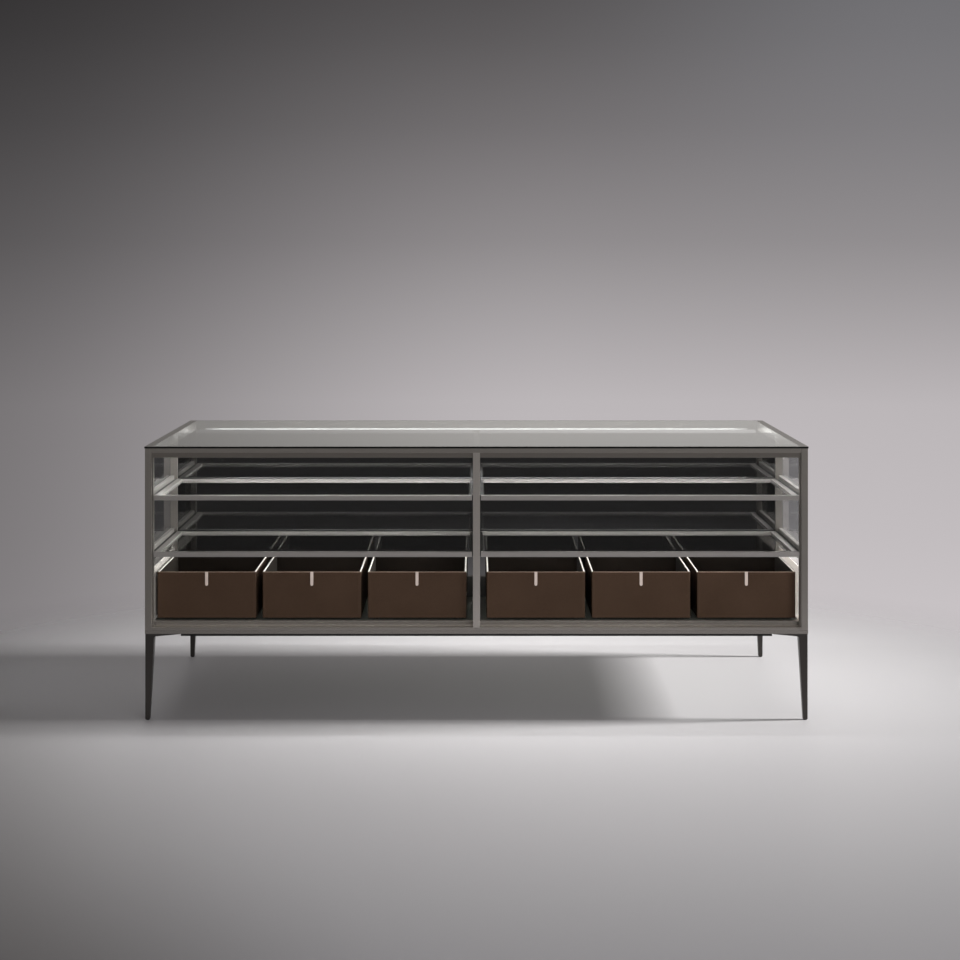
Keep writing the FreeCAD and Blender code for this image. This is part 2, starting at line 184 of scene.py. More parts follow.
class Finish:
    """A node tree that is built up one node at a time."""

    def __init__(self, tree):
        self.tree = tree
        self.tree.nodes.clear()

    def node(self, kind, settings=None, inputs=None, out=0):
        """Adds a node: its settings, then the values or readings of its sockets. Reads one output."""
        made = self.tree.nodes.new("ShaderNode" + kind)
        for key, value in (settings or {}).items():
            if key == "stops":
                self.set_stops(made.color_ramp, value)
            else:
                setattr(made, key, value)
        pairs = inputs.items() if isinstance(inputs, dict) else enumerate(inputs or ())
        for key, value in pairs:
            if isinstance(value, Reading):
                self.tree.links.new(value.socket, made.inputs[key])
            else:
                made.inputs[key].default_value = value
        return Reading(self, made.outputs[out]) if made.outputs else None

    def set_stops(self, ramp, stops):
        """A ramp's stops, as pairs of a place and a colour."""
        while len(ramp.elements) < len(stops):
            ramp.elements.new(1.0)
        for element, (place, colour) in zip(ramp.elements, stops):
            element.position = place
            element.color = colour

    def blend(self, share, first, second):
        """A colour between two colours."""
        return self.node("Mix", {"data_type": "RGBA"}, {0: share, 6: first, 7: second}, out=2)

    def stretched(self, place, by):
        return self.node("VectorMath", {"operation": "MULTIPLY"}, (place, by))

    def noise(self, place, scale, detail=2.0, roughness=0.5):
        inputs = {"Vector": place, "Scale": scale, "Detail": detail, "Roughness": roughness}
        return self.node("TexNoise", inputs=inputs)

    def eased(self, value, low, high):
        """0 below low, 1 above high, and smooth between them."""
        settings = {"interpolation_type": "SMOOTHSTEP"}
        return self.node("MapRange", settings, {"Value": value, "From Min": low, "From Max": high})

    def relief(self, height, distance, strength=1.0):
        """A bump, by a height from 0 to 1 that stands for a distance in metres."""
        return self.node("Bump", inputs={"Strength": strength, "Distance": distance, "Height": height})


def new_finish(name):
    """A material, and the finish that its nodes are built up in."""
    material = bpy.data.materials.new(name)
    material.use_nodes = True
    return material, Finish(material.node_tree)


def surface(finish, shader):
    """Ends a material's nodes with its shader."""
    finish.node("OutputMaterial", inputs={"Surface": shader})


# How fine brushing is, across its lines and along them, how metallic an anodised face is, and how deep
# brushing and the grain of a satin face go, in metres
FINE_LINES = (1400.0, 11.0)
WIDE_STROKES = (420.0, 1.6)
ANODISED = 0.8
BRUSH_DEPTH = 0.00001
GRAIN_DEPTH = 0.00002


def brush_lines(finish, place, along, fineness):
    """Noise drawn out into lines along one axis."""
    across_scale, along_scale = fineness
    stretch = [across_scale] * 3
    stretch[along] = along_scale
    return finish.noise(finish.stretched(place, tuple(stretch)), 1.0, 3.0, 0.6)


def brushed_metal(name, colour, along, roughness=0.33):
    """Anodised aluminium with fine brush lines along one axis."""
    material, finish = new_finish(name)
    place = finish.node("TexCoord", out="Object")
    lines = brush_lines(finish, place, along, FINE_LINES)
    strokes = brush_lines(finish, place, along, WIDE_STROKES)
    haze = finish.noise(place, 3.1, 3.0)
    brushing = strokes * 0.6 + haze * 0.25 + lines * 0.15
    shader = finish.node("BsdfPrincipled", inputs={
        "Base Color": finish.blend(brushing, scaled(colour, 0.86), scaled(colour, 1.14)),
        "Metallic": ANODISED,
        "Roughness": strokes * 0.05 + haze * 0.03 + (roughness - 0.04),
        "Normal": finish.relief(lines, BRUSH_DEPTH, 0.12),
    })
    surface(finish, shader)
    return material


def base_metal(name, colour, along, band_bottom):
    """The base frame's brushed band over a near-black strip, which is painted shade under the band."""
    material, finish = new_finish(name)
    place = finish.node("TexCoord", out="Object")
    height = finish.node("SeparateXYZ", inputs=(place,), out=2)
    # Below the band the colour is near-black: painted shade under the base frame
    black = height < (band_bottom + EDGE_SLACK)
    strokes = brush_lines(finish, place, along, WIDE_STROKES)
    band = finish.blend(strokes, scaled(colour, 0.88), scaled(colour, 1.1))
    speck = finish.noise(place, 900.0, 2.0)
    paint = finish.blend(speck, linear(7, 7, 7), linear(14, 14, 14))
    shader = finish.node("BsdfPrincipled", inputs={
        "Base Color": finish.blend(black, band, paint),
        "Metallic": ANODISED - black * ANODISED,
        "Roughness": strokes * 0.05 + black * 0.5 + 0.24,
        "Normal": finish.relief(strokes, BRUSH_DEPTH, 0.12),
    })
    surface(finish, shader)
    return material


def satin_metal(name, colour, roughness):
    """Sheet and runner metal with a fine even grain."""
    material, finish = new_finish(name)
    place = finish.node("TexCoord", out="Object")
    grain = finish.noise(place, 1600.0, 2.0, 0.6)
    haze = finish.noise(place, 4.0, 3.0)
    shader = finish.node("BsdfPrincipled", inputs={
        "Base Color": finish.blend(grain * 0.5 + haze * 0.5, scaled(colour, 0.86), colour),
        "Metallic": 0.75,
        "Roughness": grain * 0.1 + haze * 0.1 + (roughness - 0.1),
        "Normal": finish.relief(grain, GRAIN_DEPTH, 0.5),
    })
    surface(finish, shader)
    return material


def opal_sheet(name, dark, light):
    """A thin pale sheet that lets the light from behind it through, scattered."""
    material, finish = new_finish(name)
    place = finish.node("TexCoord", out="Object")
    grain = finish.noise(place, 1600.0, 2.0, 0.6)
    haze = finish.noise(place, 4.0, 3.0)
    shader = finish.node("BsdfPrincipled", inputs={
        "Base Color": finish.blend(grain * 0.4 + haze * 0.6, dark, light),
        "Roughness": grain * 0.1 + 0.45,
        "Subsurface Weight": 1.0,
        "Subsurface Radius": (0.012, 0.012, 0.012),
        "Subsurface Scale": 1.0,
        "Normal": finish.relief(grain, GRAIN_DEPTH, 0.4),
    })
    surface(finish, shader)
    return material


def clear_pane(name, tint, lamp_tint):
    """A pane of float glass. Lamps shine through it, so that what it covers is lit."""
    material, finish = new_finish(name)
    place = finish.node("TexCoord", out="Object")
    wipe = finish.noise(place, 5.0, 4.0, 0.6)
    one_face = tuple(math.sqrt(c) for c in lamp_tint[:3]) + (1.0,)
    glass = finish.node("BsdfPrincipled", inputs={
        "Base Color": finish.blend(wipe, scaled(tint, 0.97), tint),
        "Transmission Weight": 1.0,
        "Roughness": 0.0,
        "IOR": 1.5,
    })
    clear = finish.node("BsdfTransparent", inputs={"Color": one_face})
    lamp_ray = finish.node("LightPath", out="Is Shadow Ray")
    shader = finish.node("MixShader", inputs={0: lamp_ray, 1: glass, 2: clear})
    surface(finish, shader)
    return material


def polished_edge(name, colour):
    """The ground and polished edge of a pane, painted near-black as shade for the dark look into the glass.
    """
    material, finish = new_finish(name)
    place = finish.node("TexCoord", out="Object")
    lines = finish.noise(finish.stretched(place, (60.0, 60.0, 1500.0)), 1.0, 2.0)
    shader = finish.node("BsdfPrincipled", inputs={
        "Base Color": finish.blend(lines, colour, scaled(colour, 1.9)),
        "Roughness": lines * 0.1 + 0.14,
        "Specular IOR Level": 0.12,
        "Normal": finish.relief(lines, BRUSH_DEPTH, 0.4),
    })
    surface(finish, shader)
    return material


def etched_border(name, dark, light):
    """The satin band that is etched into the top along the rails."""
    material, finish = new_finish(name)
    place = finish.node("TexCoord", out="Object")
    grain = finish.noise(place, 1400.0, 2.0)
    cloud = finish.noise(place, 3.0, 3.0)
    shader = finish.node("BsdfPrincipled", inputs={
        "Base Color": finish.blend(grain * 0.4 + cloud * 0.6, dark, light),
        "Roughness": grain * 0.08 + 0.42,
        "Specular IOR Level": 0.3,
        "Normal": finish.relief(grain, GRAIN_DEPTH, 0.4),
    })
    surface(finish, shader)
    return material


def back_painted_glass(name):
    """Black glass, painted at its back and polished."""
    material, finish = new_finish(name)
    place = finish.node("TexCoord", out="Object")
    cloud = finish.noise(place, 7.0, 3.0)
    shader = finish.node("BsdfPrincipled", inputs={
        "Base Color": finish.blend(cloud, linear(7, 7, 8), linear(12, 12, 13)),
        "Roughness": cloud * 0.02 + 0.02,
        "IOR": 3.0,
    })
    surface(finish, shader)
    return material


def lacquer(name, colour):
    """Sprayed matt lacquer with a faint orange peel."""
    material, finish = new_finish(name)
    place = finish.node("TexCoord", out="Object")
    peel = finish.noise(place, 420.0, 2.0)
    cloud = finish.noise(place, 2.2, 3.0)
    shader = finish.node("BsdfPrincipled", inputs={
        "Base Color": finish.blend(cloud, scaled(colour, 0.9), colour),
        "Roughness": peel * 0.08 + 0.36,
        "Normal": finish.relief(peel, 0.00006, 0.5),
    })
    surface(finish, shader)
    return material


def box_leather(name, half_width, half_height):
    """Grained leather, with stitches set in from the edges of one wall by the wall's own map."""
    material, finish = new_finish(name)
    place = finish.node("TexCoord", out="Object")
    pebble = finish.node("TexVoronoi", {"feature": "DISTANCE_TO_EDGE"}, {"Vector": place, "Scale": 520.0})
    crease = finish.eased(pebble, 0.0, 0.16)
    pore = finish.noise(place, 1500.0, 2.0, 0.6)
    cloud = finish.noise(place, 9.0, 4.0, 0.6)
    wall = finish.node("UVMap", {"uv_map": "wall"})
    across = finish.node("SeparateXYZ", inputs=(wall,), out=0)
    upward = finish.node("SeparateXYZ", inputs=(wall,), out=1)
    from_side = half_width - abs(across)
    from_end = half_height - abs(upward)
    on_side = abs(from_side - STITCH_INSET) < STITCH_THREAD
    on_end = abs(from_end - STITCH_INSET) < STITCH_THREAD
    inside_side = from_side > (STITCH_INSET - STITCH_THREAD)
    inside_end = from_end > (STITCH_INSET - STITCH_THREAD)
    dash_up = upward.math("PINGPONG", upward, STITCH_PITCH / 2) > (STITCH_PITCH * STITCH_GAP)
    dash_across = across.math("PINGPONG", across, STITCH_PITCH / 2) > (STITCH_PITCH * STITCH_GAP)
    stitch = on_side * inside_end * dash_up + on_end * inside_side * dash_across
    skin = finish.blend(cloud, linear(56, 42, 32), linear(71, 55, 44))
    # The grain's creases are darkened: painted shade in the creases
    crease_shaded = finish.blend((1 - crease) * 0.55, skin, linear(32, 23, 17))
    height = crease * 0.7 + pore * 0.3 + stitch * 1.2
    shader = finish.node("BsdfPrincipled", inputs={
        "Base Color": finish.blend(stitch, crease_shaded, linear(74, 58, 47)),
        "Roughness": (1 - crease) * 0.12 + cloud * 0.12 + 0.46,
        "Specular IOR Level": 0.12,
        "Normal": finish.relief(height, 0.00018, 0.55),
    })
    surface(finish, shader)
    return material


def suede(name, dark, light):
    """The boxes' lining, with a short uneven nap."""
    material, finish = new_finish(name)
    place = finish.node("TexCoord", out="Object")
    nap = finish.noise(place, 700.0, 3.0, 0.7)
    stroke = finish.noise(finish.stretched(place, (9.0, 9.0, 22.0)), 1.0, 3.0)
    shader = finish.node("BsdfPrincipled", inputs={
        "Base Color": finish.blend(nap * 0.5 + stroke * 0.5, dark, light),
        "Roughness": nap * 0.1 + 0.85,
        "Sheen Weight": 0.02,
        "Specular IOR Level": 0.15,
        "Normal": finish.relief(nap, 0.0002, 0.6),
    })
    surface(finish, shader)
    return material


def smooth_leather(name, dark, light, roughness):
    """Fine calf leather for pull tabs and painted edges."""
    material, finish = new_finish(name)
    place = finish.node("TexCoord", out="Object")
    pore = finish.noise(place, 1900.0, 2.0, 0.6)
    cloud = finish.noise(place, 40.0, 3.0)
    shader = finish.node("BsdfPrincipled", inputs={
        "Base Color": finish.blend(cloud * 0.6 + pore * 0.4, dark, light),
        "Roughness": pore * 0.12 + (roughness - 0.06),
        "Normal": finish.relief(pore, 0.00006, 0.5),
    })
    surface(finish, shader)
    return material


# The light strips: their diodes' spacing and the fade at their ends, in metres, and how bright they are
DIODE_PITCH = 0.0042
STRIP_FADE = 0.06
STRIP_GLOW = 2.2


def lit_diffuser(name, strength, half_length):
    """A frosted strip with its row of diodes faintly showing, fainter towards its ends."""
    material, finish = new_finish(name)
    place = finish.node("TexCoord", out="Object")
    along = finish.node("SeparateXYZ", inputs=(place,), out=0)
    spot = along.math("PINGPONG", along, DIODE_PITCH) / DIODE_PITCH
    body = finish.blend(spot, (0.86, 0.87, 0.88, 1.0), (1.0, 1.0, 0.98, 1.0))
    glow = finish.blend(finish.eased(abs(along), half_length - STRIP_FADE, half_length), body, grey(0.12))
    shader = finish.node("BsdfPrincipled", inputs={
        "Base Color": body,
        "Roughness": 0.5,
        "Emission Color": glow,
        "Emission Strength": strength,
    })
    surface(finish, shader)
    return material


def rubber(name):
    """Matt black rubber or felt with a fine grain."""
    material, finish = new_finish(name)
    place = finish.node("TexCoord", out="Object")
    grain = finish.noise(place, 1200.0, 2.0)
    shader = finish.node("BsdfPrincipled", inputs={
        "Base Color": finish.blend(grain, linear(26, 26, 26), linear(44, 44, 43)),
        "Roughness": grain * 0.15 + 0.7,
        "Normal": finish.relief(grain, 0.0001, 0.5),
    })
    surface(finish, shader)
    return material


# The metals' colours, by where they are: the recessed faces darker as painted shade, the mullions and the
# sills lighter as painted light; and the tints of the panes and of the lamps' light through them
PEWTER = linear(145, 140, 135)
RECESS_SHADE_PEWTER = linear(122, 117, 112)
MULLION_LIT_PEWTER = linear(178, 172, 167)
SILL_LIT_PEWTER = linear(170, 163, 157)
SILL_TOP_LIT_PEWTER = linear(208, 200, 193)
LEG_PEWTER = linear(66, 63, 61)
TRAY_PEWTER = linear(178, 174, 171)
TOP_TINT = (0.80, 0.83, 0.82, 1.0)
SIDE_TINT = (0.45, 0.46, 0.46, 1.0)
SIDE_LAMP_TINT = (0.86, 0.87, 0.87, 1.0)
TRAY_TINT = (0.78, 0.78, 0.77, 1.0)
BAND_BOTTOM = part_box("leg_front_left")[1].z
frame_along = [brushed_metal("frame_pewter_" + "xyz"[n], PEWTER, n) for n in range(3)]
recess_shade_along = [brushed_metal("recess_pewter_" + "xyz"[n], RECESS_SHADE_PEWTER, n) for n in range(3)]
mullion_lit_metal = brushed_metal("mullion_painted_light_pewter", MULLION_LIT_PEWTER, 2)
sill_lit_metal = brushed_metal("sill_painted_light_pewter", SILL_LIT_PEWTER, 0)
sill_top_lit_metal = brushed_metal("sill_top_painted_light_pewter", SILL_TOP_LIT_PEWTER, 0)
leg_metal = brushed_metal("leg_pewter", LEG_PEWTER, 2, 0.36)
base_along = [base_metal("base_pewter_" + "xyz"[n], PEWTER, n, BAND_BOTTOM) for n in range(2)]
tray_along = [brushed_metal("tray_pewter_" + "xyz"[n], TRAY_PEWTER, n, 0.36) for n in range(2)]
tray_inner_shade = brushed_metal("tray_inner_painted_shade", linear(34, 33, 32), 1, 0.4)
runner_satin = satin_metal("runner_satin", linear(168, 164, 160), 0.4)
guard_opal = opal_sheet("guard_opal", linear(170, 164, 160), linear(186, 180, 176))
screw_black = satin_metal("screw_black", linear(70, 70, 70), 0.35)
top_pane = clear_pane("top_clear_glass", TOP_TINT, TOP_TINT)
side_pane = clear_pane("side_grey_glass", SIDE_TINT, SIDE_LAMP_TINT)
tray_pane = clear_pane("tray_smoked_glass", TRAY_TINT, TRAY_TINT)
glass_edge_shade = polished_edge("glass_edge_painted_dark", linear(9, 10, 10))
top_border = etched_border("top_etched_border", linear(98, 95, 93), linear(114, 111, 108))
partition_glass = back_painted_glass("partition_black_glass")
panel_lacquer = lacquer("panel_grey_green_lacquer", linear(118, 121, 114))
rubber_black = rubber("pad_rubber")
strip_light = lit_diffuser("strip_diffuser", STRIP_GLOW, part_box("light_strips")[1].x)
box_skid_felt = rubber("box_skid_felt")
lining = suede("box_lining_suede", linear(22, 17, 13), linear(33, 26, 21))
rim_paint = smooth_leather("box_rim_paint", linear(104, 86, 74), linear(130, 110, 96), 0.4)
side_rim_highlight = smooth_leather("box_side_rim_paint", linear(232, 226, 218), linear(248, 244, 238), 0.35)
tab_calf = smooth_leather("tab_pale_calf", linear(174, 160, 152), linear(196, 182, 174), 0.5)


# Shaping

def take(piece):
    """Makes one piece the only selected one, and the active one."""
    bpy.ops.object.select_all(action="DESELECT")
    piece.select_set(True)
    bpy.context.view_layer.objects.active = piece


def new_piece(name):
    """Names the primitive that was just added and puts its place into its mesh."""
    piece = bpy.context.active_object
    piece.name = name
    take(piece)
    bpy.ops.object.transform_apply(location=True, rotation=True, scale=True)
    return piece


def add_block(name, low, high):
    """A block between two corners."""
    low, high = Vector(low), Vector(high)
    bpy.ops.object.select_all(action="DESELECT")
    bpy.ops.mesh.primitive_cube_add(size=1.0, location=(low + high) / 2, scale=high - low)
    return new_piece(name)


def add_rod(name, radius, low, high, sides=32):
    """An upright rod between the middles of its ends."""
    low, high = Vector(low), Vector(high)
    bpy.ops.object.select_all(action="DESELECT")
    bpy.ops.mesh.primitive_cylinder_add(
        vertices=sides, radius=radius, depth=high.z - low.z, location=(low + high) / 2)
    return new_piece(name)


def shape(piece):
    """Opens a piece in edit mode, with nothing selected."""
    take(piece)
    bpy.ops.object.mode_set(mode="EDIT")
    bpy.ops.mesh.select_all(action="DESELECT")


def close():
    """Goes back from edit mode."""
    bpy.ops.object.mode_set(mode="OBJECT")


def pick(piece, kind, test):
    """Selects the faces or edges that pass a test, in edit mode."""
    bpy.ops.mesh.select_mode(type=kind)
    bpy.ops.mesh.select_all(action="DESELECT")
    mesh = bmesh.from_edit_mesh(piece.data)
    for element in mesh.faces if kind == "FACE" else mesh.edges:
        if test(element):
            element.select_set(True)
    mesh.select_flush_mode()
    bmesh.update_edit_mesh(piece.data)


def ends(edge):
    """The places of an edge's two ends."""
    return edge.verts[0].co, edge.verts[1].co


def soften(piece, width, segments=2, angle=30):
    """Breaks a piece's edges with a small bevel. Flat faces stay flat, and round ones look round."""
    take(piece)
    bevel = piece.modifiers.new("arris", "BEVEL")
    bevel.width = width
    bevel.segments = segments
    bevel.limit_method = "ANGLE"
    bevel.angle_limit = math.radians(angle)
    bpy.ops.object.modifier_apply(modifier=bevel.name)
    even_out(piece, 50)


def even_out(piece, angle):
    """Shades a piece smooth below an angle, with the large faces kept flat."""
    take(piece)
    bpy.ops.object.shade_smooth_by_angle(angle=math.radians(angle))
    facing = piece.modifiers.new("facing", "WEIGHTED_NORMAL")
    facing.keep_sharp = True
    facing.weight = 100
    bpy.ops.object.modifier_apply(modifier=facing.name)


def worked_copy(node, name):
    """A copy of a CAD solid with its triangles merged back into whole faces."""
    source = frame["nodes"][node]
    piece = bpy.data.objects.new(name, source.data.copy())
    bpy.context.scene.collection.objects.link(piece)
    piece.data.materials.clear()
    take(piece)
    bpy.ops.mesh.customdata_custom_splitnormals_clear()
    bpy.ops.object.mode_set(mode="EDIT")
    bpy.ops.mesh.select_all(action="SELECT")
    bpy.ops.mesh.remove_doubles(threshold=0.00001)
    bpy.ops.mesh.dissolve_limited(angle_limit=math.radians(0.5))
    close()
    return piece


def dress(node, name, width, materials):
    """A worked copy with broken edges that stands for its CAD solid and moves with it."""
    piece = worked_copy(node, name)
    soften(piece, width)
    finish_piece(piece, [node], materials)
    return piece


def joined(pieces, name):
    """Several pieces made one."""
    bpy.ops.object.select_all(action="DESELECT")
    for piece in pieces:
        piece.select_set(True)
    bpy.context.view_layer.objects.active = pieces[0]
    bpy.ops.object.join()
    pieces[0].name = name
    return pieces[0]


def copied(piece, shift):
    """A copy with its own mesh, moved within it."""
    made = bpy.data.objects.new(piece.name, piece.data.copy())
    bpy.context.scene.collection.objects.link(made)
    made.data.transform(Matrix.Translation(shift))
    return made


def finish_piece(piece, nodes, materials):
    """Gives a piece its finishes and its body, and hides the CAD nodes that it stands for."""
    for material in materials:
        piece.data.materials.append(material)
    body = frame["nodes"][nodes[0]]["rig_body"]
    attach(piece, body)
    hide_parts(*nodes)


def paint(piece, index, test):
    """Gives the faces that pass a test another of the piece's materials."""
    for face in piece.data.polygons:
        if test(face):
            face.material_index = index


# Frame of bars

def paint_recess_shade(bar, face_place):
    """The faces that stand back from the outside of the frame take the darker metal: painted shade in the
    recess.
    """
    for axis in (0, 1):
        def stands_back(face):
            off = abs(abs(face.center[axis]) - face_place[axis])
            return abs(face.normal[axis]) > FACING and off < FACE_SLACK
        paint(bar, 1, stands_back)


def make_frame():
    """Posts, legs, rails, mullions and side posts, and the ring under them."""
    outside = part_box("base_frame")[1]
    recess = (outside.x - RECESS, outside.y - RECESS)
    for corner in CORNERS:
        # The posts' recessed faces take the darker metal as painted shade
        bar = dress("post_" + corner, "post_" + corner + "_bar", BAR_ARRIS,
                    [frame_along[2], recess_shade_along[2]])
        paint_recess_shade(bar, recess)
        dress("leg_" + corner, "leg_" + corner + "_casting", LEG_ARRIS, [leg_metal])
    for row in ("top_rail_", "bottom_rail_"):
        for places, along in ((ENDS, 0), (SIDES, 1)):
            for place in places:
                # The bottom rails' recessed sill faces take a lighter metal instead, as painted light
                on_sill = row == "bottom_rail_" and along == 0
                inner = sill_lit_metal if on_sill else recess_shade_along[along]
                bar = dress(row + place, row + place + "_bar", BAR_ARRIS,
                            [frame_along[along], inner, sill_top_lit_metal])
                paint_recess_shade(bar, recess)
                # Their upward faces are lighter still: a painted highlight from above
                if on_sill:
                    paint(bar, 2, lambda face: face.normal.z > FACING)
    for end in ENDS:
        # Mullions in a lighter copy of the frame's pewter: painted light
        dress("mullion_" + end, "mullion_" + end + "_bar", BAR_ARRIS, [mullion_lit_metal])
    for side in SIDES:
        dress("side_post_" + side, "side_post_" + side + "_bar", BAR_ARRIS, [frame_along[2]])
    make_base_ring()


def make_base_ring():
    """The ring under the frame, brushed along Y at its two ends."""
    ring = dress("base_frame", "base_frame_ring", BAR_ARRIS, base_along)
    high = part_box("base_frame")[1]
    paint(ring, 1, lambda face: abs(face.center.x) > high.x - BASE_CORNER
          and abs(face.center.y) < high.y - BASE_CORNER)


def score(piece, lines):
    """Cuts a piece's faces along lines, each an axis and a place on it, where its finish changes."""
    shape(piece)
    for axis, place in lines:
        point, across = [0.0, 0.0, 0.0], [0.0, 0.0, 0.0]
        point[axis], across[axis] = place, 1.0
        bpy.ops.mesh.select_all(action="SELECT")
        bpy.ops.mesh.bisect(plane_co=point, plane_no=across)
    close()


def make_top():
    """The glass top: scored along the inner line of its border, then given its arris."""
    pane = worked_copy("top_glass", "top_glass_pane")
    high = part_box("top_glass")[1]
    inner = (high.x - TOP_BORDER[0], high.y - TOP_BORDER[1])
    score(pane, [(axis, side * inner[axis]) for axis in (0, 1) for side in (-1, 1)])
    soften(pane, GLASS_ARRIS)
    finish_piece(pane, ["top_glass"], [top_pane, glass_edge_shade, top_border])
    paint(pane, 2, lambda face: abs(face.center.x) > inner[0] or abs(face.center.y) > inner[1])
    # The top's edges take the near-black finish: painted shade
    paint(pane, 1, lambda face: abs(face.normal.z) < FACING)


def make_panels():
    """The top, the side panes, the low sheets, the partition, the bottom panel and the light strips."""
    make_top()
    for side in SIDES:
        pane = dress("side_glass_" + side, "side_glass_" + side + "_pane", GLASS_ARRIS,
                     [side_pane, glass_edge_shade])
        # The side panes' edges take the near-black finish: painted shade
        paint(pane, 1, lambda face: abs(face.normal.x) < FACING)
        dress("low_side_panel_" + side, "low_side_panel_" + side + "_sheet", SHEET_ARRIS,
              [guard_opal])
    dress("partition", "partition_board", PARTITION_ARRIS, [partition_glass])
    dress("bottom_panel", "bottom_panel_board", PANEL_ARRIS, [panel_lacquer])
    dress("light_strips", "light_strips_diffuser", SHEET_ARRIS, [strip_light])


def make_tray_rails(node):
    """A tray's frame, scored at its corners. The side rails are brushed along Y, the inner one near-black
    as painted shade beside the mullion.
    """
    rails = worked_copy(node, node + "_rails")
    low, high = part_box(node)
    inner_edge = min(abs(low.x), abs(high.x)) + TRAY_INNER_RAIL
    front, rear = low.y + TRAY_RAIL, high.y - TRAY_RAIL
    score(rails, [(0, math.copysign(inner_edge, low.x)), (1, front), (1, rear)])
    soften(rails, TRAY_ARRIS)
    finish_piece(rails, [node], tray_along + [tray_inner_shade])
    paint(rails, 1, lambda face: front < face.center.y < rear)
    # The inner rail is near-black: painted shade beside the mullion
    paint(rails, 2, lambda face: front < face.center.y < rear and abs(face.center.x) < inner_edge)


def make_trays():
    """The trays at both levels, and the runners that they slide on."""
    for level in LEVELS:
        for corner in CORNERS:
            make_tray_rails("tray_frame_" + level + "_" + corner)
            pane = "tray_glass_" + level + "_" + corner
            dress(pane, pane + "_pane", GLASS_ARRIS, [tray_pane])
    runners = dress("tray_runners", "tray_runners_bars", BAR_ARRIS,
                    [runner_satin, tray_inner_shade])
    # The runners' middle, beside the mullion, is near-black: painted shade
    carrier_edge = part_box("tray_runners")[1].x - CARRIER_WIDTH
    paint(runners, 1, lambda face: abs(face.center.x) < carrier_edge - FACE_SLACK)


# Leather boxes

def make_box_shell(low, high):
    """One open box, shaped from a block: round corners, a hollow, bordered walls and a round rim."""
    box = add_block("box_shell", low, high)
    shape(box)
    pick(box, "EDGE", lambda edge: abs(ends(edge)[0].z - ends(edge)[1].z) > 0.01)
    bpy.ops.mesh.bevel(offset=BOX_CORNER, segments=5, affect="EDGES")
    pick(box, "EDGE", lambda edge: max(end.z for end in ends(edge)) < low.z + EDGE_SLACK)
    bpy.ops.mesh.bevel(offset=BOX_CORNER * 0.6, segments=3, affect="EDGES")
    pick(box, "FACE", lambda face: face.normal.z > FACING)
    bpy.ops.mesh.inset(thickness=BOX_WALL)
    depth = high.z - low.z - BOX_FLOOR
    bpy.ops.mesh.extrude_region_move(TRANSFORM_OT_translate={"value": (0, 0, -depth)})
    middle, half = (low + high) / 2, (high - low) / 2

    def outer_wall(face):
        """One of the four flat walls outside, without the round corners between them."""
        outward = face.calc_center_median() - middle
        outside = abs(outward.x) > half.x - BOX_WALL / 2 or abs(outward.y) > half.y - BOX_WALL / 2
        return outside and abs(face.normal.z) < 0.1 and face.calc_area() > BOX_WALL_AREA

    pick(box, "FACE", outer_wall)
    bpy.ops.mesh.inset(thickness=BOX_BORDER, use_individual=True)
    bpy.ops.mesh.inset(thickness=BOX_GROOVE, depth=-BOX_GROOVE, use_individual=True)
    pick(box, "EDGE", lambda edge: min(end.z for end in ends(edge)) > high.z - EDGE_SLACK)
    bpy.ops.mesh.bevel(offset=BOX_RIM, segments=3, affect="EDGES")
    close()
    even_out(box, 50)
    return box


def map_walls(box, low, high):
    """The box's own map: metres across and up from the middle of each wall."""
    middle = (low + high) / 2
    layer = box.data.uv_layers.new(name="wall")
    for face in box.data.polygons:
        for loop in face.loop_indices:
            spot = box.data.vertices[box.data.loops[loop].vertex_index].co - middle
            across = spot.x if abs(face.normal.y) > abs(face.normal.x) else spot.y
            layer.data[loop].uv = (across, spot.z)


def make_tab(box_low, box_high):
    """A pull tab: a strip of calf with a round lower end, hung over the front wall."""
    middle = (box_low.x + box_high.x) / 2
    low = Vector((middle - TAB_SIZE.x / 2, box_low.y - TAB_SIZE.y, box_high.z - TAB_SIZE.z))
    high = Vector((middle + TAB_SIZE.x / 2, box_low.y, box_high.z))
    tab = add_block("tab", low, high)
    shape(tab)
    pick(tab, "EDGE", lambda edge: abs(ends(edge)[0].y - ends(edge)[1].y) > 0.001
         and max(end.z for end in ends(edge)) < low.z + EDGE_SLACK)
    bpy.ops.mesh.bevel(offset=TAB_SIZE.x * 0.49, segments=7, affect="EDGES")
    close()
    soften(tab, TAB_SOFTNESS, 3, 40)
    return tab


def make_skids(box_low, box_high, floor):
    """Two felted strips under a box, from near its front to near its back."""
    front, rear = box_low.y + SKID_INSET, box_high.y - SKID_INSET
    strips = []
    for left in (box_low.x + SKID_INSET, box_high.x - SKID_INSET - SKID_WIDTH):
        strip = add_block("skid", (left, front, floor), (left + SKID_WIDTH, rear, box_low.z))
        soften(strip, SKID_ARRIS, 2, 40)
        strips.append(strip)
    return joined(strips, "skids")


def paint_box(box, low, high):
    """The finishes of a box, in turn: front and rear walls, side walls, lining, rims, and side rims
    near-white as a painted highlight.
    """
    middle, half = (low + high) / 2, (high - low) / 2

    def inside(face):
        spot = face.center - middle
        return (abs(spot.x) < half.x - BOX_WALL * 0.6 and abs(spot.y) < half.y - BOX_WALL * 0.6
                and face.center.z > low.z + 0.001)

    paint(box, 1, lambda face: abs(face.normal.x) > abs(face.normal.y))
    paint(box, 2, inside)
    paint(box, 3, lambda face: face.center.z > high.z - BOX_RIM * 1.01 and face.normal.z > 0.2)
    # Side rims near-white: painted highlight where they catch the light
    paint(box, 4, lambda face: face.material_index == 3
          and abs(face.center.y - middle.y) < half.y - BOX_WALL)


